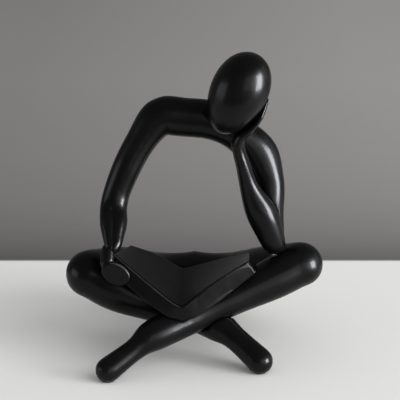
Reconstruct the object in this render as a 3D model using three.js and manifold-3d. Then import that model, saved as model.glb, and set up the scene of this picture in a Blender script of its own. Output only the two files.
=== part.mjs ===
// Abstract seated figure reading a book: a cast resin ornament built from glued and dowelled castings.
// Millimetres, +Z up. The figure faces -Y, so its right side lies towards -X. The origin is on the
// table, under the middle of the figure's outline.
import * as THREE from "three";
import { mergeVertices } from "three/addons/utils/BufferGeometryUtils.js";
import Module from "manifold-3d";

const wasm = await Module();
wasm.setup();

// Overall size: across the knees, from toes to seat back, and from the table to the crown
const WIDTH = 148;
const DEPTH = 127;
const HEIGHT = 180;

// Glued joints: the gap that the glue fills, and the steel dowels with their sliding clearance
const GLUE_LINE = 0.3;
const DOWEL_DIAMETER = 3;
const DOWEL_LENGTH = 18;
const SMALL_DOWEL_DIAMETER = 2.4;
const SMALL_DOWEL_LENGTH = 10;
const DOWEL_CLEARANCE = 0.3;
const ELBOW_DOWEL_SHARE = 0.12;
const WRIST_DOWEL_SHARE = 0.41;
const NECK_DOWEL_GAP = 2;
const CROSSING_DOWEL_DROP = 2;
const CROSSING_DOWEL_SHARE = 0.73;
const FRONT_DOWEL_BACK = 5;
const SIDE_DOWEL_SHARE = 0.58;

// Felt pads: the castings are ground flat above them
const PAD_THICKNESS = 0.8;
const SEAT_PAD_DIAMETER = 15;
const FOOT_PAD_DIAMETER = 7.5;
const SEAT_SINK = 1.7;
const FOOT_SINK = 0.8;

// Seat and thighs. The joint lies a share of the way out from the hip to the middle of the thigh.
const SEAT_TALL = 42.2;
const SEAT_THICK = 34;
const HIP_SPREAD = 45;
const HIP_BACK = 39.5;
const HIP_RISE = 26.6;
const HIP_TALL = 31;
const HIP_THICK = 28;
const HIP_JOINT_SHARE = 0.45;
const THIGH_DIAMETER = 26.4;
const LEFT_THIGH_ARCH = 1.6;
const RIGHT_THIGH_ARCH = 4;
const THIGH_MIDDLE_SHARE = 0.46;

// Knees, shins and feet
const LEFT_KNEE_DIAMETER = 25.8;
const RIGHT_KNEE_DIAMETER = 27.8;
const KNEE_FORWARD = 8;
const LEFT_KNEE_RISE = 51.8;
const RIGHT_KNEE_RISE = 46;
const KNEE_STEP = 1;
const LEFT_CALF_DIAMETER = 24.2;
const RIGHT_CALF_DIAMETER = 27.2;
const CALF_SHARE = 0.27;
const LEFT_SHIN_DIAMETER = 20;
const RIGHT_SHIN_DIAMETER = 21.4;
const LEFT_SHIN_SAG = 0.5;
const RIGHT_SHIN_SAG = 2.1;
const SHIN_SHARE = 0.62;
const CROSSING_DIAMETER = 18.6;
const CROSSING_OUT = 1.7;
const CROSSING_FORWARD = 29;
const CROSSING_RISE = 28.7;
const CROSSING_STEP_OUT = 0.6;
const CROSSING_STEP_BACK = 11;
const CROSSING_STEP_DOWN = 5;
const LEFT_HEEL_DIAMETER = 18.6;
const LEFT_HEEL_SHARE = 0.48;
const LEFT_HEEL_LIFT = 3.9;
const LEFT_ANKLE_DIAMETER = 12.9;
const LEFT_ANKLE_SHARE = 0.69;
const LEFT_ANKLE_LIFT = 2.5;
const RIGHT_HEEL_DIAMETER = 18.4;
const RIGHT_HEEL_SHARE = 0.36;
const RIGHT_HEEL_LIFT = 3.6;
const RIGHT_ANKLE_DIAMETER = 14;
const RIGHT_ANKLE_SHARE = 0.62;
const RIGHT_ANKLE_LIFT = 3.2;
const LEFT_FOOT_DIAMETER = 14.4;
const RIGHT_FOOT_DIAMETER = 15.2;
const LEFT_TOE_REACH = 48;
const RIGHT_TOE_REACH = 37;
const RIGHT_TOE_SETBACK = 12.2;

// Shoulders and arms. The rises lift the shoulder line above a straight line between the two shoulders.
const RIGHT_SHOULDER_OUT = 19;
const RIGHT_SHOULDER_DROP = 43.2;
const LEFT_SHOULDER_OUT = 34.8;
const LEFT_SHOULDER_DROP = 62.8;
const SHOULDER_BACK = 2;
const RIGHT_COLLAR_SHARE = 0.25;
const RIGHT_COLLAR_RISE = 4.3;
const MIDDLE_SHARE = 0.53;
const MIDDLE_RISE = 8.3;
const LEFT_COLLAR_SHARE = 0.79;
const LEFT_COLLAR_RISE = 6.1;
const SHOULDER_TALL = 22.6;
const SHOULDER_THICK = 20;
const LEFT_COLLAR_TALL = 20.2;
const UPPER_ARM_DIAMETER = 18;
const LOW_ARM_DIAMETER = 16.8;
const RIGHT_ARM_SHARES = [0.4, 0.74];
const LEFT_ARM_SHARES = [0.33, 0.66];
const RIGHT_ARM_BOW = 3.4;
const LEFT_ARM_BOW = 4.2;
const LEFT_ELBOW_BOW = 1.1;
const ELBOW_DIAMETER = 15.5;
const LEFT_ELBOW_DIAMETER = 12.5;
const RIGHT_ELBOW_OUT = 45.5;
const RIGHT_ELBOW_FORWARD = 5;
const RIGHT_ELBOW_RISE = 89;
const RIGHT_FOREARM_DIAMETER = 16.2;
const WRIST_DIAMETER = 10.6;
const WRIST_OUT = 0.6;
const WRIST_BACK = 4;
const WRIST_LIFT = 4.4;
const LEFT_ELBOW_IN = 15.4;
const LEFT_ELBOW_BACK = 4;
const LEFT_ELBOW_LIFT = 13;
const MUSCLE_SPREAD = 0.34;
const MUSCLE_FADE = 0.3;
const ELBOW_LOBE_DIAMETER = 5;
const ELBOW_LOBE_IN = 2;
const ELBOW_LOBE_FORWARD = 6.2;

// Left forearm, from the knee to the cheek
const FOREARM_DIAMETER = 16.8;
const FOREARM_MIDDLE = 10.6;
const FOREARM_UPPER = 8.4;
const FOREARM_LOW_BOW = 0.5;
const FOREARM_MIDDLE_BOW = 2.3;
const FOREARM_UPPER_BOW = 1.7;
const FOREARM_TAPER = 2.4;
const FOREARM_FOOT_IN = 0.4;
const FOREARM_FOOT_FORWARD = 6;
const FOREARM_FOOT_LIFT = 1.2;
const ELBOW_TIP_DIAMETER = 6.5;
const ELBOW_TIP_OUT = 3.8;
const ELBOW_TIP_FORWARD = 6.5;
const ELBOW_TIP_DROP = 2.8;
const FOREARM_LOW_SHARE = 0.29;
const FOREARM_MIDDLE_SHARE = 0.53;
const FOREARM_UPPER_SHARE = 0.78;
const LEFT_WRIST_WIDTH = 7.4;
const LEFT_WRIST_DEPTH = 11.5;
const PALM_WIDTH = 15;
const PALM_HEEL_THICKNESS = 5.2;
const PALM_THICKNESS = 4.2;
const FINGERTIP_WIDTH = 7;
const FINGERTIP_THICKNESS = 2.2;

// Where the left hand lies on the head: degrees up the cheek, the gap to it, and the way back from its middle
const WRIST_PLACE = { angle: -57, gap: 5, back: 3 };
const PALM_HEEL_PLACE = { angle: -34, gap: 2, back: 3 };
const PALM_PLACE = { angle: -14, gap: 1.2, back: 2 };
const FINGERTIP_PLACE = { angle: 5, gap: 0.5, back: 1 };

// Head
const HEAD_LENGTH = 49.8;
const HEAD_WIDTH = 32;
const HEAD_OUT = 24.1;
const HEAD_FORWARD = 23;
const HEAD_LEAN = 24.2;
const HEAD_NOD = 6;
const EGG_SWELL = 0.11;
const NECK_DIAMETER = 14;
const NECK_SHARE = 0.77;
const NECK_RISE = 6;
const NECK_REACH_SHARE = 0.6;

// Book: two leaves that meet at the spine, folded deeper at the near edge than at the far edge. The spine's
// round fills the fold up to that height.
const SPINE_LEFT = 8.6;
const SPINE_FORWARD = 14;
const SPINE_LIFT = 7.1;
const LEFT_LEAF = 47.9;
const RIGHT_LEAF = 44.6;
const LEFT_FAR_LEAF = 34.1;
const RIGHT_FAR_LEAF = 40.2;
const LEFT_LEAF_SLOPE = 36.9;
const RIGHT_LEAF_SLOPE = 34.6;
const LEFT_FAR_SLOPE = 29.2;
const RIGHT_FAR_SLOPE = 17.3;
const BOOK_THICKNESS = 8.5;
const SPINE_THICKNESS = 8.3;
const BOOK_LENGTH = 45;
const BOOK_CORNER_SETBACK = 15;
const SETBACK_POWER = 1.5;
const SPINE_CLIMB = 7.4;
const SPINE_ROUND = 2.7;
const PAGE_BULGE = 2.3;
const PAGE_BULGE_POWER = 0.9;
const LEFT_BULGE_SHARES = [0.1, 1];
const RIGHT_BULGE_SHARES = [1, 0.5];

// Right hand: a bundle of fingers with a flat oval end, on a short back of the hand
const FINGERS_WIDTH = 17.3;
const FINGERS_TALL = 12;
const FINGERS_TILT = 30;
const FINGERS_LENGTH = 16;
const KNUCKLE_CREASE = 0.06;
const HAND_BACK_WIDTH = 8.4;
const FINGERS_IN = 1.4;
const FINGERS_FORWARD = 7;
const FINGERS_DROP = 9.7;
const HAND_TOP_WIDTH = 7.8;
const HAND_TOP_OUT = 1;
const HAND_TOP_BACK = 3.4;
const HAND_TOP_LIFT = 0.6;
const KNUCKLES_OUT = 3.8;
const KNUCKLES_FORWARD = 0.5;
const KNUCKLES_DROP = 2;
const PALM_OUT = 3;
const PALM_FORWARD = 1;
const PALM_DROP = 7;

// Smoothness of the round shapes
const SIDES = 22;
const RING_SPACING = 5.5;
const DOME_RINGS = 4;
const MUSCLE_SIDES = 32;
const EGG_RINGS = 16;
const EGG_SIDES = 28;
const ROD_SIDES = 12;
const PAD_SIDES = 24;
const BALL_SIDES = 12;
const BALL_RINGS = 8;
const BOOK_RINGS = 8;
const LEAF_STEPS = [1, 0.8, 0.6, 0.42, 0.26, 0.14, 0.07, 0.03];

const FRONT = new THREE.Vector3(0, -1, 0);
const UP = new THREE.Vector3(0, 0, 1);
const at = (x, y, z) => new THREE.Vector3(x, y, z);
const between = (a, b, share) => a.clone().lerp(b, share);
const shifted = (point, x, y, z) => point.clone().add(at(x, y, z));
const radians = (degrees) => THREE.MathUtils.degToRad(degrees);
const blend = (a, b, share) => THREE.MathUtils.lerp(a, b, share);
const smoothLine = (points) => new THREE.CatmullRomCurve3(points, false, "catmullrom");

const resin = () => new THREE.MeshStandardMaterial({ color: 0x17171a, roughness: 0.34, metalness: 0 });
const steel = () => new THREE.MeshStandardMaterial({ color: 0x9a9a9c, roughness: 0.35, metalness: 1 });
const felt = () => new THREE.MeshStandardMaterial({ color: 0x101011, roughness: 1, metalness: 0 });

// A place on a limb's middle line, with the limb's width and depth there.
const station = (centre, width, depth = width) => ({ centre, width, depth });

// A closed skin over rings of points, with a fan of faces to one point at each end.
function skin(rings, startPoint, endPoint) {
  const count = rings[0].length;
  const points = [startPoint, ...rings.flat(), endPoint];
  const last = points.length - 1;
  const faces = [];
  for (let k = 0; k < count; k++) {
    const next = (k + 1) % count;
    faces.push(0, 1 + next, 1 + k);
    for (let r = 0; r < rings.length - 1; r++) {
      const here = 1 + r * count;
      const there = here + count;
      faces.push(here + k, here + next, there + k);
      faces.push(here + next, there + next, there + k);
    }
    faces.push(last, last - count + k, last - count + next);
  }
  const geometry = new THREE.BufferGeometry().setFromPoints(points);
  geometry.setIndex(faces);
  return geometry;
}

// An oval limb along a smooth line through its stations, its depth lying towards the facing direction.
// Each end is a dome, or flat and pulled in by its trim. Grow swells the whole limb. Form gives the reach of
// the section at an angle round it and a share of the way along.
function limb(stations, facing, options = {}) {
  const { from = 0, to = 1, domes = [false, false], trims = [0, 0], grow = 0 } = options;
  const { sides = SIDES, form = () => 1 } = options;
  const line = smoothLine(stations.map((s) => s.centre));
  const sizes = smoothLine(stations.map((s) => at(s.width / 2, s.depth / 2, 0)));
  const steps = Math.max(3, Math.ceil((line.getLength() * (to - from)) / RING_SPACING));
  const frameAt = (t) => {
    const along = line.getTangent(t);
    const out = facing.clone().addScaledVector(along, -facing.dot(along)).normalize();
    const across = out.clone().cross(along);
    const size = sizes.getPoint(t);
    return { t, centre: line.getPoint(t), along, out, across, width: size.x + grow, depth: size.y + grow };
  };
  const ring = (frame, share, shift) => Array.from({ length: sides }, (_, k) => {
    const angle = (2 * Math.PI * k) / sides;
    const reach = share * form(angle, frame.t);
    return frame.centre.clone()
      .addScaledVector(frame.along, shift)
      .addScaledVector(frame.across, frame.width * reach * Math.cos(angle))
      .addScaledVector(frame.out, frame.depth * reach * Math.sin(angle));
  });
  const domeReach = (frame) => (frame.width + frame.depth) / 2;
  const dome = (frame, sign) => Array.from({ length: DOME_RINGS }, (_, i) => {
    const angle = (Math.PI / 2) * ((i + 1) / (DOME_RINGS + 1));
    return ring(frame, Math.cos(angle), sign * domeReach(frame) * Math.sin(angle));
  });
  const ends = [frameAt(from), frameAt(to)];
  const reaches = [0, 1].map((e) => (domes[e] ? domeReach(ends[e]) : grow - trims[e]));
  const rings = [];
  for (let i = 0; i <= steps; i++) {
    const startShift = i === 0 && !domes[0] ? -reaches[0] : 0;
    const endShift = i === steps && !domes[1] ? reaches[1] : 0;
    rings.push(ring(frameAt(blend(from, to, i / steps)), 1, startShift + endShift));
  }
  if (domes[0]) {
    rings.unshift(...dome(ends[0], -1).reverse());
  }
  if (domes[1]) {
    rings.push(...dome(ends[1], 1));
  }
  const startPoint = ends[0].centre.clone().addScaledVector(ends[0].along, -reaches[0]);
  const endPoint = ends[1].centre.clone().addScaledVector(ends[1].along, reaches[1]);
  return skin(rings, startPoint, endPoint);
}

// A closed mesh as a solid that can be joined and cut.
function solid(geometry) {
  const bare = geometry.clone();
  bare.deleteAttribute("normal");
  bare.deleteAttribute("uv");
  const merged = mergeVertices(bare, 1e-4);
  return new wasm.Manifold(new wasm.Mesh({
    numProp: 3,
    vertProperties: merged.attributes.position.array,
    triVerts: new Uint32Array(merged.index.array),
  }));
}

function ball(centre, diameter) {
  const geometry = new THREE.SphereGeometry(diameter / 2, BALL_SIDES, BALL_RINGS);
  return solid(geometry.translate(centre.x, centre.y, centre.z));
}

// A solid as a mesh with its own name and material.
function casting(name, body) {
  const { vertProperties, triVerts } = body.getMesh();
  const geometry = new THREE.BufferGeometry();
  geometry.setAttribute("position", new THREE.BufferAttribute(new Float32Array(vertProperties), 3));
  geometry.setIndex(new THREE.BufferAttribute(new Uint32Array(triVerts), 1));
  geometry.computeVertexNormals();
  const mesh = new THREE.Mesh(geometry, resin());
  mesh.name = name;
  return mesh;
}

// Lower body. The seat and both thighs lie on one line from knee to knee.
const leftKnee = at(WIDTH / 2 - LEFT_KNEE_DIAMETER / 2, -KNEE_FORWARD, LEFT_KNEE_RISE);
const rightKnee = at(-WIDTH / 2 + RIGHT_KNEE_DIAMETER / 2, -KNEE_FORWARD, RIGHT_KNEE_RISE);
const leftHip = at(HIP_SPREAD / 2, HIP_BACK, HIP_RISE);
const rightHip = at(-HIP_SPREAD / 2, HIP_BACK, HIP_RISE);
const seatMiddle = at(0, DEPTH / 2 - SEAT_THICK / 2, SEAT_TALL / 2 - SEAT_SINK);
const thighMiddle = (knee, hip, arch) => shifted(between(knee, hip, THIGH_MIDDLE_SHARE), 0, 0, arch);
const seatLine = [
  station(rightKnee, RIGHT_KNEE_DIAMETER),
  station(thighMiddle(rightKnee, rightHip, RIGHT_THIGH_ARCH), THIGH_DIAMETER),
  station(rightHip, HIP_THICK, HIP_TALL),
  station(seatMiddle, SEAT_THICK, SEAT_TALL),
  station(leftHip, HIP_THICK, HIP_TALL),
  station(thighMiddle(leftKnee, leftHip, LEFT_THIGH_ARCH), THIGH_DIAMETER),
  station(leftKnee, LEFT_KNEE_DIAMETER),
];
const RIGHT_HIP_SHARE = (2 - HIP_JOINT_SHARE) / (seatLine.length - 1);
const LEFT_HIP_SHARE = (4 + HIP_JOINT_SHARE) / (seatLine.length - 1);
const jointInset = GLUE_LINE / 2;

// The shins cross in front of the seat, the left shin in front of the right one.
const leftCrossing = at(CROSSING_OUT, -CROSSING_FORWARD, CROSSING_RISE);
const rightCrossing = shifted(leftCrossing, -CROSSING_STEP_OUT, CROSSING_STEP_BACK, -CROSSING_STEP_DOWN);
const toeFront = -DEPTH / 2 + LEFT_FOOT_DIAMETER / 2;
const leftToe = at(-LEFT_TOE_REACH, toeFront, LEFT_FOOT_DIAMETER / 2 - FOOT_SINK);
const rightToe = at(RIGHT_TOE_REACH, toeFront + RIGHT_TOE_SETBACK, RIGHT_FOOT_DIAMETER / 2 - FOOT_SINK);
const alongLeftShin = (share) => shifted(between(leftKnee, leftCrossing, share), 0, 0, -LEFT_SHIN_SAG);
const alongRightShin = (share) => shifted(between(rightKnee, rightCrossing, share), 0, 0, -RIGHT_SHIN_SAG);
const footStation = (crossing, toe, share, lift, diameter) =>
  station(shifted(between(crossing, toe, share), 0, 0, lift), diameter);
const leftShinLine = [
  station(leftKnee, LEFT_KNEE_DIAMETER - KNEE_STEP),
  station(alongLeftShin(CALF_SHARE), LEFT_CALF_DIAMETER),
  station(alongLeftShin(SHIN_SHARE), LEFT_SHIN_DIAMETER),
  station(leftCrossing, CROSSING_DIAMETER),
  footStation(leftCrossing, leftToe, LEFT_HEEL_SHARE, LEFT_HEEL_LIFT, LEFT_HEEL_DIAMETER),
  footStation(leftCrossing, leftToe, LEFT_ANKLE_SHARE, LEFT_ANKLE_LIFT, LEFT_ANKLE_DIAMETER),
  station(leftToe, LEFT_FOOT_DIAMETER),
];
const rightShinLine = [
  station(rightKnee, RIGHT_KNEE_DIAMETER - KNEE_STEP),
  station(alongRightShin(CALF_SHARE), RIGHT_CALF_DIAMETER),
  station(alongRightShin(SHIN_SHARE), RIGHT_SHIN_DIAMETER),
  station(rightCrossing, CROSSING_DIAMETER),
  footStation(rightCrossing, rightToe, RIGHT_HEEL_SHARE, RIGHT_HEEL_LIFT, RIGHT_HEEL_DIAMETER),
  footStation(rightCrossing, rightToe, RIGHT_ANKLE_SHARE, RIGHT_ANKLE_LIFT, RIGHT_ANKLE_DIAMETER),
  station(rightToe, RIGHT_FOOT_DIAMETER),
];

function leftLeg(grow) {
  const thigh = { from: LEFT_HIP_SHARE, to: 1, domes: [false, true], trims: [jointInset, 0], grow };
  return solid(limb(seatLine, UP, thigh)).add(solid(limb(leftShinLine, UP, { domes: [true, true], grow })));
}

function rightLeg(grow) {
  const thigh = { from: 0, to: RIGHT_HIP_SHARE, domes: [true, false], trims: [0, jointInset], grow };
  return solid(limb(seatLine, UP, thigh)).add(solid(limb(rightShinLine, UP, { domes: [true, true], grow })));
}

const seatCut = { from: RIGHT_HIP_SHARE, to: LEFT_HIP_SHARE, trims: [jointInset, jointInset] };
const seat = () => solid(limb(seatLine, UP, seatCut));

// Book. A point on a leaf lies a share of the way out from the spine and a share of the way from the
// near edge to the far edge, and the given height above the page.
const spineNear = shifted(leftCrossing, -SPINE_LEFT, -SPINE_FORWARD, SPINE_LIFT);
const leftSide = {
  side: -1,
  lengths: [LEFT_LEAF, LEFT_FAR_LEAF],
  slopes: [LEFT_LEAF_SLOPE, LEFT_FAR_SLOPE],
  bulges: LEFT_BULGE_SHARES,
};
const rightSide = {
  side: 1,
  lengths: [RIGHT_LEAF, RIGHT_FAR_LEAF],
  slopes: [RIGHT_LEAF_SLOPE, RIGHT_FAR_SLOPE],
  bulges: RIGHT_BULGE_SHARES,
};

function leafPoint(leaf, out, back, height, grow, bulge = 0) {
  const length = blend(leaf.lengths[0], leaf.lengths[1], back) + grow;
  const slope = radians(blend(leaf.slopes[0], leaf.slopes[1], back));
  const crown = Math.sin(Math.PI * out ** PAGE_BULGE_POWER);
  const lift = height + bulge * blend(leaf.bulges[0], leaf.bulges[1], back) * crown;
  const across = out * length * Math.cos(slope) - lift * Math.sin(slope);
  const climb = Math.hypot(out * length * Math.sin(slope), SPINE_ROUND);
  const setback = BOOK_CORNER_SETBACK * out ** SETBACK_POWER * (1 - back);
  const ends = [spineNear.y - grow, spineNear.y + BOOK_LENGTH + grow];
  return at(
    spineNear.x + leaf.side * across,
    blend(ends[0], ends[1], back) + setback,
    spineNear.z + SPINE_CLIMB * back + climb + lift * Math.cos(slope),
  );
}

// One cut across the book: the pages from left to right, then the covers below them.
function bookOutline(back, grow) {
  const chain = (height, spineHeight, bulge) => {
    const leaf = (side) => LEAF_STEPS.map((out) => leafPoint(side, out, back, height, grow, bulge));
    const spine = shifted(leafPoint(leftSide, 0, back, 0, grow), 0, 0, spineHeight);
    return [...leaf(leftSide), spine, ...leaf(rightSide).reverse()];
  };
  const covers = chain(-BOOK_THICKNESS - grow, -SPINE_THICKNESS - grow, 0);
  return [...chain(grow, grow, PAGE_BULGE), ...covers];
}

function book(grow) {
  const outlines = Array.from({ length: BOOK_RINGS + 1 }, (_, i) => bookOutline(i / BOOK_RINGS, grow));
  const count = outlines[0].length;
  const across = count / 2;
  const end = BOOK_RINGS * count;
  const faces = [];
  const square = (a, b, c, d) => faces.push(a, b, c, a, c, d);
  for (let k = 0; k < across - 1; k++) {
    const under = k + across;
    square(k, under, under + 1, k + 1);
    square(end + k, end + k + 1, end + under + 1, end + under);
    for (let ring = 0; ring < BOOK_RINGS; ring++) {
      const here = ring * count;
      const there = here + count;
      square(here + k, here + k + 1, there + k + 1, there + k);
      square(here + under, there + under, there + under + 1, here + under + 1);
    }
  }
  for (let ring = 0; ring < BOOK_RINGS; ring++) {
    const here = ring * count;
    const there = here + count;
    square(here, there, there + across, here + across);
    square(here + across - 1, here + count - 1, there + count - 1, there + across - 1);
  }
  const geometry = new THREE.BufferGeometry().setFromPoints(outlines.flat());
  geometry.setIndex(faces);
  return solid(geometry);
}

// Arms. One line runs from the right wrist over both shoulders to the left elbow on the left knee.
const bookCorner = leafPoint(leftSide, 1, 0, 0, 0);
const rightShoulder = at(-RIGHT_SHOULDER_OUT, SHOULDER_BACK, HEIGHT - RIGHT_SHOULDER_DROP);
const leftShoulder = at(LEFT_SHOULDER_OUT, SHOULDER_BACK, HEIGHT - LEFT_SHOULDER_DROP);
const rightElbow = at(-RIGHT_ELBOW_OUT, -RIGHT_ELBOW_FORWARD, RIGHT_ELBOW_RISE);
const rightWrist = shifted(bookCorner, -WRIST_OUT, WRIST_BACK, WRIST_LIFT);
const leftElbow = shifted(leftKnee, -LEFT_ELBOW_IN, LEFT_ELBOW_BACK, LEFT_ELBOW_LIFT);
const shoulderSpan = (share, rise) => shifted(between(rightShoulder, leftShoulder, share), 0, 0, rise);
const alongRightArm = (share) => shifted(between(rightElbow, rightShoulder, share), -RIGHT_ARM_BOW, 0, 0);
const alongLeftArm = (share, bow) => shifted(between(leftShoulder, leftElbow, share), bow, 0, 0);
const armLine = [
  station(rightWrist, WRIST_DIAMETER),
  station(between(rightElbow, rightWrist, 0.5), RIGHT_FOREARM_DIAMETER),
  station(rightElbow, ELBOW_DIAMETER),
  station(alongRightArm(RIGHT_ARM_SHARES[0]), LOW_ARM_DIAMETER),
  station(alongRightArm(RIGHT_ARM_SHARES[1]), UPPER_ARM_DIAMETER),
  station(rightShoulder, SHOULDER_TALL, SHOULDER_THICK),
  station(shoulderSpan(RIGHT_COLLAR_SHARE, RIGHT_COLLAR_RISE), SHOULDER_TALL, SHOULDER_THICK),
  station(shoulderSpan(MIDDLE_SHARE, MIDDLE_RISE), SHOULDER_TALL, SHOULDER_THICK),
  station(shoulderSpan(LEFT_COLLAR_SHARE, LEFT_COLLAR_RISE), LEFT_COLLAR_TALL, SHOULDER_THICK),
  station(leftShoulder, SHOULDER_TALL, SHOULDER_THICK),
  station(alongLeftArm(LEFT_ARM_SHARES[0], LEFT_ARM_BOW), UPPER_ARM_DIAMETER),
  station(alongLeftArm(LEFT_ARM_SHARES[1], LEFT_ELBOW_BOW), LOW_ARM_DIAMETER),
  station(leftElbow, LEFT_ELBOW_DIAMETER),
];
const RIGHT_ELBOW_SHARE = 2 / (armLine.length - 1);

// Head: an egg that stands on its chin, leaning and nodding, with its crown at the full height.
function egg(grow) {
  const profile = Array.from({ length: EGG_RINGS + 1 }, (_, i) => {
    const angle = (Math.PI * i) / EGG_RINGS;
    const height = -Math.cos(angle);
    const swell = 1 + EGG_SWELL * height;
    const pole = i === 0 || i === EGG_RINGS;
    const radius = pole ? 0 : Math.sin(angle) * (HEAD_WIDTH / 2 + grow) * swell;
    return new THREE.Vector2(radius, height * (HEAD_LENGTH / 2 + grow));
  });
  return new THREE.LatheGeometry(profile, EGG_SIDES)
    .rotateX(Math.PI / 2 + radians(HEAD_NOD))
    .rotateY(radians(HEAD_LEAN));
}
const levelEgg = egg(0);
levelEgg.computeBoundingBox();
const headCentre = at(HEAD_OUT, -HEAD_FORWARD, HEIGHT - levelEgg.boundingBox.max.z);
const head = (grow) => solid(egg(grow).translate(headCentre.x, headCentre.y, headCentre.z));

// The neck grows out of the shoulders and ends at the back of the head.
const neckRoot = shoulderSpan(NECK_SHARE, NECK_RISE);
const neckTop = between(neckRoot, headCentre, NECK_REACH_SHARE);

function shoulders(grow) {
  const yoke = { from: RIGHT_ELBOW_SHARE, to: 1, domes: [false, true], trims: [jointInset, 0], grow };
  const neck = [station(neckRoot, NECK_DIAMETER), station(neckTop, NECK_DIAMETER)];
  return solid(limb(armLine, FRONT, yoke)).add(solid(limb(neck, UP, { grow })));
}

// Right forearm: two round muscles side by side, with a crease between them down the front. They fade into
// a plain round below the small lobe in the crook of the elbow.
function muscles(angle, share) {
  const front = Math.max(0, Math.sin(angle));
  const radius = Math.sqrt((1 - MUSCLE_SPREAD) ** 2 - (MUSCLE_SPREAD * front) ** 2);
  const pair = MUSCLE_SPREAD * Math.abs(Math.cos(angle)) + radius;
  const fade = (RIGHT_ELBOW_SHARE - share) / (MUSCLE_FADE * RIGHT_ELBOW_SHARE);
  return front > 0 ? blend(1, pair, Math.min(1, fade)) : 1;
}
const elbowLobe = shifted(rightElbow, ELBOW_LOBE_IN, -ELBOW_LOBE_FORWARD, 0);
const rightForearmCut = { to: RIGHT_ELBOW_SHARE, domes: [true, false], trims: [0, jointInset] };
const muscled = { ...rightForearmCut, form: muscles, sides: MUSCLE_SIDES };
const rightForearm = (grow) => solid(limb(armLine, FRONT, { ...muscled, grow }))
  .add(ball(elbowLobe, ELBOW_LOBE_DIAMETER + 2 * grow));

// Right hand: the fingers point forward past the book's near corner, with creases over the knuckles.
const knuckles = shifted(bookCorner, -KNUCKLES_OUT, -KNUCKLES_FORWARD, -KNUCKLES_DROP);

function rightHand() {
  const front = shifted(bookCorner, FINGERS_IN, -FINGERS_FORWARD, -FINGERS_DROP);
  const crease = 1 - KNUCKLE_CREASE;
  const profile = [[0, 0], [0.93, 0], [1, 0.04], [1, 0.22], [crease, 0.26], [1, 0.3], [1, 0.46],
    [crease, 0.5], [0.99, 0.54], [0.94, 0.69], [0.8, 0.84], [0.5, 0.96], [0, 1]];
  const points = profile.map(([radius, back]) => new THREE.Vector2(radius, back * FINGERS_LENGTH));
  const fingers = new THREE.LatheGeometry(points, SIDES)
    .scale(FINGERS_WIDTH / 2, 1, FINGERS_TALL / 2)
    .rotateY(radians(FINGERS_TILT))
    .translate(front.x, front.y, front.z);
  const back = limb([
    station(shifted(rightWrist, -HAND_TOP_OUT, HAND_TOP_BACK, HAND_TOP_LIFT), HAND_TOP_WIDTH),
    station(knuckles, HAND_BACK_WIDTH),
    station(shifted(bookCorner, -PALM_OUT, -PALM_FORWARD, -PALM_DROP), HAND_BACK_WIDTH),
  ], FRONT, { domes: [false, true] });
  return solid(fingers).add(solid(back));
}

// Left forearm and hand: up from the knee, then round the chin along the cheek.
const lean = radians(HEAD_LEAN);
const headUp = at(Math.sin(lean), 0, Math.cos(lean));
const headSide = at(Math.cos(lean), 0, -Math.sin(lean));
const cheek = ({ angle, gap, back }) => shifted(headCentre, 0, back, 0)
  .addScaledVector(headUp, (HEAD_LENGTH / 2 + gap) * Math.sin(radians(angle)))
  .addScaledVector(headSide, (HEAD_WIDTH / 2 + gap) * Math.cos(radians(angle)));
const forearmFootWidth = FOREARM_DIAMETER - FOREARM_TAPER;
const forearmFoot = shifted(leftElbow, -FOREARM_FOOT_IN, -FOREARM_FOOT_FORWARD, FOREARM_FOOT_LIFT);
const elbowTip = shifted(leftElbow, ELBOW_TIP_OUT, -ELBOW_TIP_FORWARD, -ELBOW_TIP_DROP);
const leftWrist = cheek(WRIST_PLACE);
const alongForearm = (share, bow) => shifted(between(forearmFoot, leftWrist, share), -bow, 0, 0);
const leftForearmLine = [
  station(forearmFoot, forearmFootWidth),
  station(alongForearm(FOREARM_LOW_SHARE, FOREARM_LOW_BOW), FOREARM_DIAMETER),
  station(alongForearm(FOREARM_MIDDLE_SHARE, FOREARM_MIDDLE_BOW), FOREARM_MIDDLE),
  station(alongForearm(FOREARM_UPPER_SHARE, FOREARM_UPPER_BOW), FOREARM_UPPER, LEFT_WRIST_DEPTH),
  station(leftWrist, LEFT_WRIST_WIDTH, LEFT_WRIST_DEPTH),
  station(cheek(PALM_HEEL_PLACE), PALM_HEEL_THICKNESS, PALM_WIDTH),
  station(cheek(PALM_PLACE), PALM_THICKNESS, PALM_WIDTH),
  station(cheek(FINGERTIP_PLACE), FINGERTIP_THICKNESS, FINGERTIP_WIDTH),
];
const leftForearm = (grow) => solid(limb(leftForearmLine, FRONT, { domes: [true, true], grow }))
  .add(ball(elbowTip, ELBOW_TIP_DIAMETER + 2 * grow));

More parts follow.
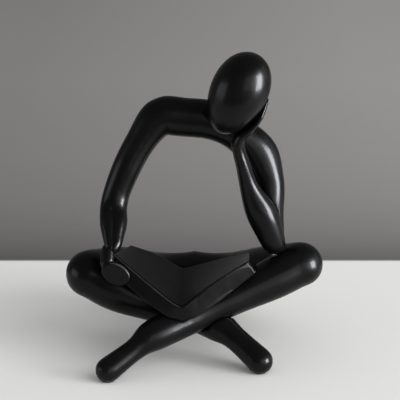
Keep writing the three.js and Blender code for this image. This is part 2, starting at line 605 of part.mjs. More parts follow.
// The castings, each cut back by a glue line where it meets another one, and ground flat over the pads.
const ground = PAD_THICKNESS + GLUE_LINE;
const grinding = solid(new THREE.BoxGeometry(2 * WIDTH, 2 * DEPTH, ground).translate(0, 0, ground / 2))
  .add(solid(new THREE.BoxGeometry(2 * WIDTH, 2 * DEPTH, HEIGHT).translate(0, 0, -HEIGHT / 2)));
const roomFor = {
  book: book(GLUE_LINE),
  head: head(GLUE_LINE),
  leftLeg: leftLeg(GLUE_LINE),
  rightLeg: rightLeg(GLUE_LINE),
  shoulders: shoulders(GLUE_LINE),
  leftForearm: leftForearm(GLUE_LINE),
  rightForearm: rightForearm(GLUE_LINE),
};
const cutBack = (body, ...others) => others.reduce((rest, other) => rest.subtract(other), body);
const bodies = {
  seat: cutBack(seat(), grinding),
  left_leg: cutBack(leftLeg(0), roomFor.book, grinding),
  right_leg: cutBack(rightLeg(0), roomFor.book, roomFor.leftLeg, grinding),
  book: book(0),
  shoulders: cutBack(shoulders(0), roomFor.head, roomFor.leftLeg, roomFor.leftForearm),
  right_forearm: cutBack(rightForearm(0), roomFor.book, roomFor.shoulders),
  right_hand: cutBack(rightHand(), roomFor.book, roomFor.rightLeg, roomFor.rightForearm),
  left_forearm: cutBack(leftForearm(0), roomFor.head, roomFor.leftLeg),
  head: head(0),
};

// Steel dowels across the glued joints. Each one slides in a hole in both castings that it joins.
const seatCurve = smoothLine(seatLine.map((s) => s.centre));
const armCurve = smoothLine(armLine.map((s) => s.centre));
const neckAlong = headCentre.clone().sub(neckRoot).normalize();
const crossingAlong = rightCrossing.clone().sub(leftCrossing).normalize();
const big = { diameter: DOWEL_DIAMETER, length: DOWEL_LENGTH };
const small = { diameter: SMALL_DOWEL_DIAMETER, length: SMALL_DOWEL_LENGTH };
const dowels = [
  { name: "right_hip_dowel", joins: ["seat", "right_leg"], ...big,
    centre: seatCurve.getPoint(RIGHT_HIP_SHARE), along: seatCurve.getTangent(RIGHT_HIP_SHARE) },
  { name: "left_hip_dowel", joins: ["seat", "left_leg"], ...big,
    centre: seatCurve.getPoint(LEFT_HIP_SHARE), along: seatCurve.getTangent(LEFT_HIP_SHARE) },
  { name: "left_knee_dowel", joins: ["left_leg", "left_forearm"], ...big,
    centre: shifted(forearmFoot, 0, 0, -forearmFootWidth / 2), along: UP },
  { name: "neck_dowel", joins: ["shoulders", "head"], ...big,
    centre: headCentre.clone().addScaledVector(neckAlong, -HEAD_WIDTH / 2 - NECK_DOWEL_GAP),
    along: neckAlong },
  { name: "right_elbow_dowel", joins: ["shoulders", "right_forearm"], ...small,
    centre: armCurve.getPoint(RIGHT_ELBOW_SHARE), along: armCurve.getTangent(RIGHT_ELBOW_SHARE) },
  { name: "right_wrist_dowel", joins: ["right_forearm", "right_hand"], ...small,
    centre: between(rightWrist, knuckles, WRIST_DOWEL_SHARE), along: rightWrist.clone().sub(knuckles) },
  { name: "left_elbow_dowel", joins: ["left_forearm", "shoulders"], ...small,
    centre: shifted(alongForearm(ELBOW_DOWEL_SHARE, 0), 0, forearmFootWidth / 2, 0), along: FRONT },
  { name: "crossing_dowel", joins: ["left_leg", "right_leg"], ...small,
    centre: shifted(between(leftCrossing, rightCrossing, CROSSING_DOWEL_SHARE), 0, 0, -CROSSING_DOWEL_DROP),
    along: crossingAlong },
  { name: "book_front_dowel", joins: ["book", "left_leg"], ...small,
    centre: shifted(spineNear, 0, FRONT_DOWEL_BACK, SPINE_ROUND - SPINE_THICKNESS), along: UP },
  { name: "book_side_dowel", joins: ["book", "left_leg"], ...small,
    centre: shifted(alongLeftShin(SIDE_DOWEL_SHARE), 0, 0, LEFT_SHIN_DIAMETER / 2), along: UP },
];

function rod(diameter, length) {
  return new THREE.CylinderGeometry(diameter / 2, diameter / 2, length, ROD_SIDES);
}

const root = new THREE.Group();
root.name = "reading_figure";
const inside = new THREE.Group();
inside.name = "dowels";
for (const { name, joins, diameter, length, centre, along } of dowels) {
  const mesh = new THREE.Mesh(rod(diameter, length), steel());
  mesh.name = name;
  mesh.position.copy(centre);
  mesh.quaternion.setFromUnitVectors(at(0, 1, 0), along.clone().normalize());
  mesh.updateMatrix();
  inside.add(mesh);
  const bore = rod(diameter + 2 * DOWEL_CLEARANCE, length + 2 * DOWEL_CLEARANCE);
  const hole = solid(bore.applyMatrix4(mesh.matrix));
  for (const joined of joins) {
    bodies[joined] = bodies[joined].subtract(hole);
  }
}

const castings = new THREE.Group();
castings.name = "castings";
for (const [name, body] of Object.entries(bodies)) {
  castings.add(casting(name, body));
}

// Felt pads under the seat and both feet
const pads = new THREE.Group();
pads.name = "pads";
const padPlaces = [
  { name: "seat_pad", diameter: SEAT_PAD_DIAMETER, place: seatMiddle },
  { name: "left_foot_pad", diameter: FOOT_PAD_DIAMETER, place: leftToe },
  { name: "right_foot_pad", diameter: FOOT_PAD_DIAMETER, place: rightToe },
];
for (const { name, diameter, place } of padPlaces) {
  const geometry = new THREE.CylinderGeometry(diameter / 2, diameter / 2, PAD_THICKNESS, PAD_SIDES);
  const mesh = new THREE.Mesh(geometry, felt());
  mesh.name = name;
  mesh.rotation.x = Math.PI / 2;
  mesh.position.set(place.x, place.y, PAD_THICKNESS / 2);
  pads.add(mesh);
}

root.add(castings, inside, pads);

export default root;
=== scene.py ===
"""Looks of an abstract seated figure with a book: satin black resin castings that stand on felt pads."""
import math

import bmesh
import bpy
import numpy as np
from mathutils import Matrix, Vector
from mathutils.bvhtree import BVHTree
from mathutils.kdtree import KDTree


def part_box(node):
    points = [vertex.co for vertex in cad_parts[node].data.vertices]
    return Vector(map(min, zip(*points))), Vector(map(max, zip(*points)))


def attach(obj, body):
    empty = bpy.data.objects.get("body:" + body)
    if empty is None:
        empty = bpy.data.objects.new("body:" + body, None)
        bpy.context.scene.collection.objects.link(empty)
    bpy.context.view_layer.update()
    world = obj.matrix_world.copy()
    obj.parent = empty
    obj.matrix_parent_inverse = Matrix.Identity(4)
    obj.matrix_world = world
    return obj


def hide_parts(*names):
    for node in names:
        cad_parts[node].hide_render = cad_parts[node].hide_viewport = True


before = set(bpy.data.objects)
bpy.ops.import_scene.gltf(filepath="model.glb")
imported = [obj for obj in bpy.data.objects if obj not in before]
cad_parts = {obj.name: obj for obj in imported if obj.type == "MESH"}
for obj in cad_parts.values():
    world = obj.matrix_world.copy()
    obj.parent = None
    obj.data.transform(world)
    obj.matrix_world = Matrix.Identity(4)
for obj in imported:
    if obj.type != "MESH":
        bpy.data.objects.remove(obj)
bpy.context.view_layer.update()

MM = 0.001

# Castings, with the spacing of the skin's points and the reach of its smoothing in millimetres. A casting may
# also keep its creases, run on over another casting or lap into its neighbours where the lacquer hides the
# joint, carry a painted highlight along its ridges on the side that faces the lamps, and have a groove along
# the front rim of its pages.
CASTINGS = {
    "seat": {"spacing": 0.8, "reach": 2.4, "laps": ["left_leg", "right_leg"]},
    "left_leg": {"spacing": 0.8, "reach": 2.4, "laps": ["seat"]},
    "right_leg": {"spacing": 0.8, "reach": 2.4, "laps": ["seat"]},
    "head": {"spacing": 0.8, "reach": 2.4},
    "left_forearm": {"spacing": 0.7, "reach": 4.0},
    "shoulders": {"spacing": 0.6, "reach": 4.5, "creases": True, "runs_on": "right_forearm"},
    "right_hand": {"spacing": 0.35, "reach": 0.8, "creases": True, "painted_highlight": True},
    "book": {"spacing": 0.35, "reach": 1.6, "creases": True, "painted_highlight": True, "rim": True},
}

# Skin: edges sharper than the angle stay, and beside them the smoothing fades in over a share of its reach.
# A round of smoothing moves a point by a share of the way to the mean of its neighbours, and the rounds grow
# with the square of the reach.
WELD = 0.002 * MM
SHARP_ANGLE = math.radians(32)
EDGE_FADE = 1.2
RELAX_SHARE = 0.5
ROUNDS_PER_STEP = 4
SOFTENING_ROUNDS = 3
CREASE_DEPTH = 0.3 * MM
CREASE_WIDTH = 1.5 * MM

# Joints: a point this near to the other casting lies on the joint, and no edge this near to both is kept
JOINT_GAP = 0.5 * MM
JOINT_CLEAR = 6 * MM
JOINT_LAP = 0.8 * MM
HIP_LAP = 1.6 * MM

# Book: how far a normal has to point up on a page, and up and to the front on the two sides of the front rim
PAGE_UP = 0.4
RIM_PAGE_UP = 0.5
RIM_FRONT = 0.6
RIM_CURVE_DEGREE = 2
GROOVE_INSET = 1.5 * MM
GROOVE_WIDTH = 0.45 * MM
GROOVE_DEPTH = 0.45 * MM

# Lean of the front of the leaf on the +X side: it starts and is full at these places along X
FRONT_HEIGHT = 11 * MM
FRONT_LEAN = 3.2 * MM
FRONT_LEAN_FROM = 2 * MM
FRONT_LEAN_TO = 18 * MM

# Swells, in millimetres: a skin stands out by this depth round a place, on the side that faces this way
SWELLS = {
    "left_forearm": {"place": (32, -8, 88), "radius": 32, "depth": 1.5, "side": (-1.0, 0.0, 0.0)},
    "shoulders": {"place": (48, 10, 116), "radius": 17, "depth": 1.3, "side": (0.9, 0.0, 0.436)},
}

# Painted highlight along ridges: a paler colour that starts and is full where a normal points by these shares
# along the upper side towards +X, where the lamps stand, and lies in patches
PAINTED_HIGHLIGHT_ATTRIBUTE = "painted_highlight"
PAINTED_HIGHLIGHT_WIDTH = 0.5 * MM
PAINTED_HIGHLIGHT_SIDE = (0.85, 0.0, 0.5)
PAINTED_HIGHLIGHT_FROM = 0.36
PAINTED_HIGHLIGHT_TO = 0.5
PAINTED_HIGHLIGHT_COLOUR = (0.09, 0.09, 0.095, 1)
PAINTED_HIGHLIGHT_PATCHES = 6 * MM
PAINTED_HIGHLIGHT_SHARES = (0.5, 1.0)

# Materials: the range that a noise mostly fills, and pairs of a low and a high value that are spread over it
NOISE_RANGE = (0.3, 0.7)
RESIN_TONES = ((0.0016, 0.0016, 0.0017), (0.0030, 0.0030, 0.0033))
RESIN_CLOUDS = 18 * MM
RESIN_ROUGHNESS = (0.28, 0.34)
RESIN_ROUGHNESS_CLOUDS = 9 * MM
PEEL_GRAIN = 1.8 * MM
PEEL_DEPTH = 0.012 * MM
DUST_GRAIN = 0.3 * MM
DUST_DEPTH = 0.0015 * MM
STEEL_TONES = ((0.46, 0.46, 0.47), (0.62, 0.62, 0.63))
STEEL_CLOUDS = 2 * MM
STEEL_ROUGHNESS = (0.25, 0.42)
SCRATCH_GRAIN = 0.2 * MM
SCRATCH_STRETCH = (1, 1, 0.1)
SCRATCH_DEPTH = 0.004 * MM
FELT_TONES = ((0.010, 0.010, 0.010), (0.035, 0.035, 0.036))
FELT_ROUGHNESS = (0.85, 1.0)
FIBRE_GRAIN = 0.25 * MM
FIBRE_DEPTH = 0.12 * MM

# Dowels and pads
ROD_SIDES = 32
ROD_CHAMFER = 0.35 * MM
PAD_SIDES = 72
PAD_ROUNDING = 0.25 * MM
PAD_ROUNDING_ANGLES = (90, 60, 30, 0)

# Camera, fitted to the three printed sizes and the outline
CAMERA_PLACE = (3.3 * MM, -1005.5 * MM, 403 * MM)
CAMERA_PITCH = math.radians(90 - 17.4)
CAMERA_LENS = 165.6

# Stage: a pale table, and behind its far edge a backdrop in painted shade, with greys at shares of its reach
# that darken towards the table, and darker to the left, away from the lamps
TABLE_COLOUR = (0.72, 0.72, 0.71)
TABLE_SIDES = (-1500 * MM, 450 * MM)
TABLE_FRONT = -250 * MM
TABLE_BACK = 146 * MM
TABLE_BLUR = 4 * MM
BACKDROP_REACH = 500 * MM
BACKDROP = [(0.0, 0.13), (0.07, 0.175), (0.14, 0.21), (0.28, 0.25), (0.5, 0.28), (1.0, 0.315)]
BACKDROP_SPAN = 160 * MM
BACKDROP_LEFT_SHADE = 0.76
BACKDROP_TINT = (1.0, 0.965, 0.955)
BACKDROP_SIDES = (-3.0, 3.0)
BACKDROP_END = 6.0

# Light: softboxes far off, in metres and degrees. Azimuth runs from the front to the figure's left. A lamp
# with seen off is not mirrored, and one with lights off is only mirrored.
AMBIENT = 0.55
ROOM_COLOUR = (0.17, 0.17, 0.17)
LAMP_DISTANCE = 3.0
DAYLIGHT = (0.93, 0.955, 1.0)
NEUTRAL = (1.0, 1.0, 1.0)
LAMPS = {
    "window": {
        "azimuth": 65, "elevation": 3, "width": 1.4, "height": 2.0, "radiance": 55.0, "colour": DAYLIGHT,
        "lights": False},
    "side_glow": {
        "azimuth": 104, "elevation": 16, "width": 1.2, "height": 1.7, "radiance": 1.0},
    "window_glow": {
        "azimuth": 41, "elevation": 7, "width": 1.1, "height": 2.0, "radiance": 2.8, "lights": False},
    "right_front": {
        "azimuth": 18, "elevation": 11, "width": 1.4, "height": 2.0, "radiance": 1.5},
    "left_front": {
        "azimuth": -78, "elevation": 3, "width": 2.0, "height": 1.5, "radiance": 2.5, "colour": DAYLIGHT},
    "low_key": {
        "azimuth": 68, "elevation": 6, "width": 1.4, "height": 2.0, "radiance": 13.0, "seen": False},
    "key": {
        "azimuth": 52, "elevation": 36, "width": 2.4, "height": 2.0, "radiance": 3.0, "seen": False},
}


def mesh_object(name, mesh):
    piece = bpy.data.objects.new(name, mesh)
    bpy.context.scene.collection.objects.link(piece)
    return piece


def dress(piece, node, material):
    """The piece stands for the CAD node, in its place, with this material."""
    piece.data.materials.clear()
    piece.data.materials.append(material)
    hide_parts(node)
    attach(piece, "root")


# Materials
def new_material(name, **settings):
    """A material with these values on its shader, its node tree and the shader."""
    material = bpy.data.materials.new(name)
    material.use_nodes = True
    tree = material.node_tree
    shader = tree.nodes["Principled BSDF"]
    for socket, value in settings.items():
        shader.inputs[socket.replace("_", " ")].default_value = value
    return material, tree, shader


def noise(tree, grain, detail=3.0, roughness=0.55, stretch=(1, 1, 1)):
    """Noise whose grain is this long, in metres, in the object's own space."""
    place = tree.nodes.new("ShaderNodeTexCoord")
    mapping = tree.nodes.new("ShaderNodeMapping")
    mapping.inputs["Scale"].default_value = stretch
    texture = tree.nodes.new("ShaderNodeTexNoise")
    texture.inputs["Scale"].default_value = 1 / grain
    texture.inputs["Detail"].default_value = detail
    texture.inputs["Roughness"].default_value = roughness
    tree.links.new(place.outputs["Object"], mapping.inputs["Vector"])
    tree.links.new(mapping.outputs["Vector"], texture.inputs["Vector"])
    return texture.outputs["Fac"]


def ramp(tree, value, stops):
    """Colours at their places along a value."""
    node = tree.nodes.new("ShaderNodeValToRGB")
    elements = node.color_ramp.elements
    while len(elements) < len(stops):
        elements.new(0.5)
    for element, (position, colour) in zip(elements, stops):
        element.position = position
        element.color = (*colour, 1)
    tree.links.new(value, node.inputs["Fac"])
    return node.outputs["Color"]


def tones(tree, value, colours):
    """Two colours spread over a noise."""
    return ramp(tree, value, list(zip(NOISE_RANGE, colours)))


def map_range(tree, value, start, end, low=0.0, high=1.0):
    """A value from start to end spread from low to high."""
    node = tree.nodes.new("ShaderNodeMapRange")
    node.inputs["From Min"].default_value = start
    node.inputs["From Max"].default_value = end
    node.inputs["To Min"].default_value = low
    node.inputs["To Max"].default_value = high
    tree.links.new(value, node.inputs["Value"])
    return node.outputs["Result"]


def levels(tree, value, pair):
    """A low and a high level spread over a noise."""
    return map_range(tree, value, *NOISE_RANGE, *pair)


def bump(tree, height, depth, under=None):
    """A bump of this depth in metres, on top of another bump."""
    node = tree.nodes.new("ShaderNodeBump")
    node.inputs["Distance"].default_value = depth
    tree.links.new(height, node.inputs["Height"])
    if under is not None:
        tree.links.new(under, node.inputs["Normal"])
    return node.outputs["Normal"]


def satin_resin():
    """Satin black lacquer with faint clouds and peel, and a painted highlight, paler in patches, along ridges
    on the side that faces the lamps.
    """
    material, tree, shader = new_material(
        "satin_black_resin", Specular_IOR_Level=0.1, Coat_Weight=0.1, Coat_Roughness=0.15, Coat_IOR=1.5)
    # Painted highlight: the base colour turns pale where a skin carries the highlight attribute, in patches
    highlight_attribute = tree.nodes.new("ShaderNodeAttribute")
    highlight_attribute.attribute_name = PAINTED_HIGHLIGHT_ATTRIBUTE
    patchy = tree.nodes.new("ShaderNodeMath")
    patchy.operation = "MULTIPLY"
    tree.links.new(highlight_attribute.outputs["Fac"], patchy.inputs[0])
    tree.links.new(levels(tree, noise(tree, PAINTED_HIGHLIGHT_PATCHES), PAINTED_HIGHLIGHT_SHARES), patchy.inputs[1])
    painted_highlight = tree.nodes.new("ShaderNodeMix")
    painted_highlight.data_type = "RGBA"
    painted_highlight.inputs["B"].default_value = PAINTED_HIGHLIGHT_COLOUR
    tree.links.new(patchy.outputs["Value"], painted_highlight.inputs["Factor"])
    tree.links.new(tones(tree, noise(tree, RESIN_CLOUDS), RESIN_TONES), painted_highlight.inputs["A"])
    cloud = levels(tree, noise(tree, RESIN_ROUGHNESS_CLOUDS, detail=5), RESIN_ROUGHNESS)
    peel = bump(tree, noise(tree, PEEL_GRAIN, detail=1), PEEL_DEPTH)
    dust = bump(tree, noise(tree, DUST_GRAIN, detail=2), DUST_DEPTH, peel)
    tree.links.new(painted_highlight.outputs["Result"], shader.inputs["Base Color"])
    tree.links.new(cloud, shader.inputs["Roughness"])
    tree.links.new(dust, shader.inputs["Normal"])
    return material


def drawn_steel():
    """Bright rod, scratched along its length."""
    material, tree, shader = new_material("drawn_steel", Metallic=1.0)
    scratches = noise(tree, SCRATCH_GRAIN, detail=4, stretch=SCRATCH_STRETCH)
    tree.links.new(tones(tree, noise(tree, STEEL_CLOUDS, detail=5), STEEL_TONES), shader.inputs["Base Color"])
    tree.links.new(levels(tree, scratches, STEEL_ROUGHNESS), shader.inputs["Roughness"])
    tree.links.new(bump(tree, scratches, SCRATCH_DEPTH), shader.inputs["Normal"])
    return material


def black_felt():
    """Pressed felt with short fibres."""
    material, tree, shader = new_material(
        "black_felt", Specular_IOR_Level=0.2, Sheen_Weight=0.4, Sheen_Roughness=0.5)
    fibres = noise(tree, FIBRE_GRAIN, detail=8, roughness=0.7)
    tree.links.new(tones(tree, fibres, FELT_TONES), shader.inputs["Base Color"])
    tree.links.new(levels(tree, fibres, FELT_ROUGHNESS), shader.inputs["Roughness"])
    tree.links.new(bump(tree, fibres, FIBRE_DEPTH), shader.inputs["Normal"])
    return material


# Solids of the castings
def bare_mesh(node):
    """The mesh of a CAD node with its shared points joined."""
    work = bmesh.new()
    work.from_mesh(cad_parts[node].data)
    bmesh.ops.remove_doubles(work, verts=work.verts, dist=WELD)
    return work


def surface(node):
    """The surface of a CAD node, which finds its place nearest to a point."""
    work = bare_mesh(node)
    tree = BVHTree.FromBMesh(work)
    work.free()
    return tree


def lap(work, other, depth):
    """The joint face of a casting moved this far across the glue line, into another casting."""
    for vert in work.verts:
        place, _, _, gap = other.find_nearest(vert.co, JOINT_GAP)
        if place is not None:
            vert.co += depth * (place - vert.co) / gap


def joined(nodes, surfaces):
    """Two castings as one mesh, with each joint face moved across the glue line into the other casting."""
    mesh = bpy.data.meshes.new("joined")
    both = bmesh.new()
    for node, other in zip(nodes, reversed(surfaces)):
        work = bare_mesh(node)
        lap(work, other, JOINT_LAP)
        work.to_mesh(mesh)
        work.free()
        both.from_mesh(mesh)
    bpy.data.meshes.remove(mesh)
    return both


def ridge(edge):
    return edge.calc_face_angle_signed() > SHARP_ANGLE


def crease(edge):
    return edge.calc_face_angle_signed() < -SHARP_ANGLE


def front_rim(edge):
    """An edge between a page and the front of the leaf under it."""
    normals = [face.normal for face in edge.link_faces]
    front = min(normal.y for normal in normals) < -RIM_FRONT
    page = max(normal.z for normal in normals) > RIM_PAGE_UP
    return ridge(edge) and front and page


def edge_places(work, chosen, gap, surfaces):
    """Points along the chosen edges, away from the joint between two castings."""
    points = []
    for edge in work.edges:
        if not edge.is_manifold or not chosen(edge):
            continue
        start, end = (vert.co for vert in edge.verts)
        middle = (start + end) / 2
        if surfaces and all(tree.find_nearest(middle, JOINT_CLEAR)[0] for tree in surfaces):
            continue
        count = math.ceil((end - start).length / gap)
        points += [start.lerp(end, step / count) for step in range(count + 1)]
    return points


# Skins of the castings
def even_skin(work, spacing):
    """A closed mesh with points at an even spacing over the outside of another one."""
    mesh = bpy.data.meshes.new("coarse")
    work.to_mesh(mesh)
    piece = mesh_object("coarse", mesh)
    remesh = piece.modifiers.new("even_skin", "REMESH")
    remesh.mode = "VOXEL"
    remesh.voxel_size = spacing * MM
    even = bpy.data.meshes.new_from_object(piece.evaluated_get(bpy.context.evaluated_depsgraph_get()))
    bpy.data.objects.remove(piece)
    bpy.data.meshes.remove(mesh)
    return even


def vectors(items, name):
    """One vector of each item of a mesh, as rows."""
    values = np.empty(len(items) * 3)
    items.foreach_get(name, values)
    return values.reshape(-1, 3)


def edge_ends(mesh):
    """The two points of each edge, as rows."""
    ends = np.empty(len(mesh.edges) * 2, dtype=np.int32)
    mesh.edges.foreach_get("vertices", ends)
    return ends.reshape(-1, 2)


def set_points(mesh, points):
    mesh.vertices.foreach_set("co", points.ravel())
    mesh.update()


def distances(points, places):
    """How far each point lies from the nearest of the places."""
    if not places:
        return np.full(len(points), np.inf)
    tree = KDTree(len(places))
    for index, place in enumerate(places):
        tree.insert(place, index)
    tree.balance()
    return np.array([tree.find(point)[2] for point in points])


def nearness(points, places, near, far):
    """How near each point lies to the places, from 1 at near to 0 at far."""
    return np.clip((far - distances(points, places)) / (far - near), 0, 1)


def relaxed(values, edges, weights, rounds):
    """Values at the points of a skin, drawn towards the mean of their neighbours' values."""
    count = len(values)
    first, second = edges.T
    neighbours = np.bincount(edges.ravel(), minlength=count)
    for _ in range(rounds):
        total = np.stack([
            np.bincount(first, values[second, axis], count) + np.bincount(second, values[first, axis], count)
            for axis in range(3)
        ], axis=1)
        mean = total / neighbours[:, None]
        values = values + RELAX_SHARE * weights[:, None] * (mean - values)
    return values


def smoothed(mesh, kept, spacing, reach):
    """The points of a skin without facets: smoothed beside the kept edges, filled out again and softened."""
    points = vectors(mesh.vertices, "co")
    edges = edge_ends(mesh)
    free = 1 - nearness(points, kept, spacing * MM, (spacing + EDGE_FADE * reach) * MM)
    rounds = math.ceil(ROUNDS_PER_STEP * (reach / spacing) ** 2)
    smooth = relaxed(points, edges, free, rounds)
    smooth += relaxed(points - smooth, edges, free, rounds)
    return relaxed(smooth, edges, np.ones(len(points)), SOFTENING_ROUNDS)


def front_lean(points, rim):
    """How far each point of the book moves to the front, so that one leaf's front leans out at its rim."""
    run = np.array([place for place in rim if place.x > FRONT_LEAN_FROM])
    across = points[:, 0]
    rim_y, rim_z = (
        np.polyval(np.polyfit(run[:, 0], run[:, axis], RIM_CURVE_DEGREE), across) for axis in (1, 2))
    shares = [
        (across - FRONT_LEAN_FROM) / (FRONT_LEAN_TO - FRONT_LEAN_FROM),
        1 - (points[:, 1] - rim_y) / FRONT_HEIGHT,
        1 - (rim_z - points[:, 2]) / FRONT_HEIGHT,
    ]
    return FRONT_LEAN * np.prod([np.clip(share, 0, 1) for share in shares], axis=0)


def rim_groove(points, out, rim):
    """How deep each point of the book sinks in the groove that follows the front rim of its pages."""
    off_groove = (distances(points, rim) - GROOVE_INSET) / GROOVE_WIDTH
    return GROOVE_DEPTH * np.exp(-off_groove ** 2) * (out[:, 2] > PAGE_UP)


def painted_highlight_share(points, out, ridges):
    """How strongly each point of a skin carries the painted highlight, along the ridges on the side that
    faces the lamps.
    """
    facing = (out @ np.array(PAINTED_HIGHLIGHT_SIDE) - PAINTED_HIGHLIGHT_FROM) / (PAINTED_HIGHLIGHT_TO - PAINTED_HIGHLIGHT_FROM)
    return nearness(points, ridges, 0, PAINTED_HIGHLIGHT_WIDTH) * np.clip(facing, 0, 1)


def swell(points, out, place, radius, depth, side):
    """How far each point of a skin moves to swell round a place, with the place and sizes in millimetres."""
    away = np.linalg.norm(points / MM - np.array(place), axis=1) / radius
    facing = np.clip(out @ np.array(side), 0, 1)
    return np.outer(depth * MM * np.clip(1 - away ** 2, 0, 1) ** 2 * facing, side)


def parted(mesh, surfaces):
    """One closed mesh for each surface: the faces that lie nearest to it, with the cut closed."""
    parts = []
    for index in range(len(surfaces)):
        work = bmesh.new()
        work.from_mesh(mesh)
        far = []
        for face in work.faces:
            middle = face.calc_center_median()
            gaps = [tree.find_nearest(middle)[3] for tree in surfaces]
            if gaps.index(min(gaps)) != index:
                far.append(face)
        bmesh.ops.delete(work, geom=far, context="FACES")
        cut = [edge for edge in work.edges if edge.is_boundary]
        bmesh.ops.holes_fill(work, edges=cut, sides=0)
        for edge in cut:
            edge.smooth = False
        part = bpy.data.meshes.new("part")
        work.to_mesh(part)
        work.free()
        parts.append(part)
    bpy.data.meshes.remove(mesh)
    return parts


def casting(node, material, spacing, reach, creases=False, runs_on=None, laps=(), painted_highlight=False, rim=False):
    """A CAD casting with an even, smooth skin: facets are smoothed away, and edges stay with a soft round."""
    nodes = [node, runs_on] if runs_on else [node]
    surfaces = [surface(name) for name in nodes] if runs_on else []
    work = joined(nodes, surfaces) if runs_on else bare_mesh(node)
    for other in laps:
        lap(work, surface(other), HIP_LAP)
    skin = even_skin(work, spacing)
    gap = spacing * MM / 2
    ridges = edge_places(work, ridge, gap, surfaces)
    hollows = edge_places(work, crease, gap, surfaces) if creases else []
    front = edge_places(work, front_rim, gap, surfaces) if rim else []
    work.free()
    points = smoothed(skin, ridges + hollows, spacing, reach)
    set_points(skin, points)
    out = vectors(skin.vertex_normals, "vector")
    carved = CREASE_DEPTH * nearness(points, hollows, 0, CREASE_WIDTH) ** 2
    if rim:
        carved += rim_groove(points, out, front)
        points[:, 1] -= front_lean(points, front)
    # Painted highlight along the ridges that face the lamps, kept as an attribute of the skin
    if painted_highlight:
        attribute = skin.attributes.new(PAINTED_HIGHLIGHT_ATTRIBUTE, "FLOAT", "POINT")
        attribute.data.foreach_set("value", painted_highlight_share(points, out, ridges))
    points -= carved[:, None] * out
    if node in SWELLS:
        points += swell(points, out, **SWELLS[node])
    set_points(skin, points)
    skin.shade_smooth()
    skins = parted(skin, surfaces) if runs_on else [skin]
    for name, mesh in zip(nodes, skins):
        mesh.name = name + "_casting"
        dress(mesh_object(name + "_casting", mesh), name, material)


# Dowels and pads
def turned(name, profile, centre, axis, sides):
    """A body of revolution from pairs of a radius and a height along the axis, closed at both ends."""
    turn = Vector(axis).to_track_quat("Z", "Y")
    angles = [2 * math.pi * side / sides for side in range(sides)]
    work = bmesh.new()
    rings = []
    for radius, height in profile:
        ring = [Vector((radius * math.cos(angle), radius * math.sin(angle), height)) for angle in angles]
        rings.append([work.verts.new(Vector(centre) + turn @ point) for point in ring])
    for lower, upper in zip(rings, rings[1:]):
        for side in range(sides):
            after = (side + 1) % sides
            work.faces.new((lower[side], lower[after], upper[after], upper[side]))
    work.faces.new(reversed(rings[0]))
    work.faces.new(rings[-1])
    mesh = bpy.data.meshes.new(name)
    work.to_mesh(mesh)
    work.free()
    mesh.shade_smooth()
    mesh.set_sharp_from_angle(angle=SHARP_ANGLE)
    return mesh_object(name, mesh)


def dowel(node, material):
    """A steel pin with chamfered ends, along the longest direction of its CAD node."""
    points = np.array([vert.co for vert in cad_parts[node].data.vertices])
    centre = (points.min(0) + points.max(0)) / 2
    axis = np.linalg.svd(points - points.mean(0), full_matrices=False)[2][0]
    along = (points - centre) @ axis
    half = np.abs(along).max()
    radius = np.linalg.norm(points - centre - np.outer(along, axis), axis=1).max()
    profile = [
        (radius - ROD_CHAMFER, -half), (radius, -half + ROD_CHAMFER),
        (radius, half - ROD_CHAMFER), (radius - ROD_CHAMFER, half),
    ]
    dress(turned(node + "_pin", profile, centre, axis, ROD_SIDES), node, material)


def pad(node, material):
    """A felt disc with a rounded rim."""
    low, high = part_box(node)
    radius = (high.x - low.x) / 2
    half = (high.z - low.z) / 2
    lower = []
    for angle in PAD_ROUNDING_ANGLES:
        turn = math.radians(angle)
        inset = PAD_ROUNDING * (1 - math.cos(turn))
        rise = PAD_ROUNDING * (1 - math.sin(turn))
        lower.append((radius - inset, -half + rise))
    upper = [(ring, -height) for ring, height in reversed(lower)]
    disc = turned(node + "_felt", lower + upper, (low + high) / 2, (0, 0, 1), PAD_SIDES)
    dress(disc, node, material)


# Stage, light and camera
def stage():
    """A pale table top that ends in a soft line, with the grey of a backdrop beyond it in painted shade,
    darker towards the table and to the left.
    """
    seam = TABLE_BACK - TABLE_BLUR
    corners = []
    for (left, right), near, far in ((TABLE_SIDES, TABLE_FRONT, seam), (BACKDROP_SIDES, seam, BACKDROP_END)):
        corners += [(left, near, 0), (right, near, 0), (right, far, 0), (left, far, 0)]
    mesh = bpy.data.meshes.new("table")
    mesh.from_pydata(corners, [], [(0, 1, 2, 3), (4, 5, 6, 7)])
    table = mesh_object("table", mesh)
    material, tree, shader = new_material("table_top", Roughness=1.0, Specular_IOR_Level=0.0)
    place = tree.nodes.new("ShaderNodeTexCoord")
    apart = tree.nodes.new("ShaderNodeSeparateXYZ")
    tree.links.new(place.outputs["Object"], apart.inputs["Vector"])
    edge = map_range(tree, apart.outputs["Y"], TABLE_BACK - TABLE_BLUR / 2, TABLE_BACK + TABLE_BLUR / 2)
    beyond = map_range(tree, apart.outputs["Y"], TABLE_BACK, TABLE_BACK + BACKDROP_REACH)
    across = map_range(tree, apart.outputs["X"], -BACKDROP_SPAN, BACKDROP_SPAN)
    # Painted shade: the backdrop grows darker towards the table and to the left, away from the lamps
    greys = [(share, tuple(grey * tint for tint in BACKDROP_TINT)) for share, grey in BACKDROP]
    shades = [(0.0, (BACKDROP_LEFT_SHADE,) * 3), (1.0, (1.0,) * 3)]
    backdrop = tree.nodes.new("ShaderNodeMix")
    backdrop.data_type = "RGBA"
    backdrop.blend_type = "MULTIPLY"
    backdrop.inputs["Factor"].default_value = 1
    tree.links.new(ramp(tree, beyond, greys), backdrop.inputs["A"])
    tree.links.new(ramp(tree, across, shades), backdrop.inputs["B"])
    colour = tree.nodes.new("ShaderNodeMix")
    colour.data_type = "RGBA"
    colour.inputs["A"].default_value = (*TABLE_COLOUR, 1)
    tree.links.new(edge, colour.inputs["Factor"])
    tree.links.new(backdrop.outputs["Result"], colour.inputs["B"])
    tree.links.new(colour.outputs["Result"], shader.inputs["Base Color"])
    mesh.materials.append(material)


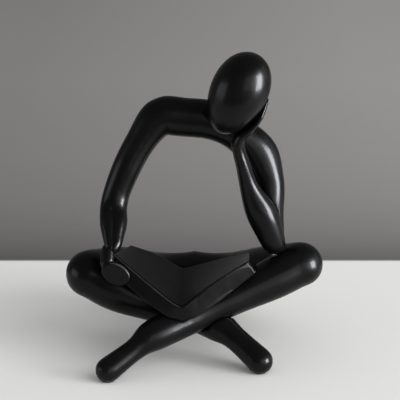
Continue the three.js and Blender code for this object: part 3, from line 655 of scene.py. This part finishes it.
def softbox(name, azimuth, elevation, width, height, radiance, colour=NEUTRAL, seen=True, lights=True):
    """A lamp that faces the figure from far off, with this brightness all over."""
    data = bpy.data.lights.new(name, "AREA")
    data.shape = "RECTANGLE"
    data.size = width
    data.size_y = height
    data.energy = radiance * math.pi * width * height
    data.color = colour
    turn = math.radians(azimuth)
    rise = math.radians(elevation)
    away = Vector((math.sin(turn) * math.cos(rise), -math.cos(turn) * math.cos(rise), math.sin(rise)))
    lamp = bpy.data.objects.new(name, data)
    lamp.location = LAMP_DISTANCE * away
    lamp.rotation_euler = (-away).to_track_quat("-Z", "Y").to_euler()
    lamp.visible_glossy = seen
    lamp.visible_diffuse = lights
    bpy.context.scene.collection.objects.link(lamp)


def light():
    """The softboxes, and a room that lights matt surfaces evenly but looks dark itself and in gloss."""
    for name, settings in LAMPS.items():
        softbox(name, **settings)
    world = bpy.data.worlds.new("room")
    world.use_nodes = True
    bpy.context.scene.world = world
    tree = world.node_tree
    seen = tree.nodes["Background"]
    seen.inputs["Color"].default_value = (*ROOM_COLOUR, 1)
    ambient = tree.nodes.new("ShaderNodeBackground")
    ambient.inputs["Color"].default_value = (*NEUTRAL, 1)
    ambient.inputs["Strength"].default_value = AMBIENT
    path = tree.nodes.new("ShaderNodeLightPath")
    mix = tree.nodes.new("ShaderNodeMixShader")
    shown = path.outputs["Is Camera Ray"]
    for ray in ("Is Glossy Ray", "Is Transmission Ray"):
        either = tree.nodes.new("ShaderNodeMath")
        either.operation = "MAXIMUM"
        tree.links.new(shown, either.inputs[0])
        tree.links.new(path.outputs[ray], either.inputs[1])
        shown = either.outputs["Value"]
    tree.links.new(shown, mix.inputs["Fac"])
    tree.links.new(ambient.outputs["Background"], mix.inputs[1])
    tree.links.new(seen.outputs["Background"], mix.inputs[2])
    tree.links.new(mix.outputs["Shader"], tree.nodes["World Output"].inputs["Surface"])


def camera():
    data = bpy.data.cameras.new("camera")
    data.lens = CAMERA_LENS
    eye = bpy.data.objects.new("camera", data)
    eye.location = CAMERA_PLACE
    eye.rotation_euler = (CAMERA_PITCH, 0, 0)
    bpy.context.scene.collection.objects.link(eye)
    bpy.context.scene.camera = eye


bpy.context.scene.view_settings.view_transform = "Standard"
resin = satin_resin()
steel = drawn_steel()
felt = black_felt()
for name, settings in CASTINGS.items():
    casting(name, resin, **settings)
for name in sorted(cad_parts):
    if name.endswith("_dowel"):
        dowel(name, steel)
    if name.endswith("_pad"):
        pad(name, felt)
stage()
light()
camera()
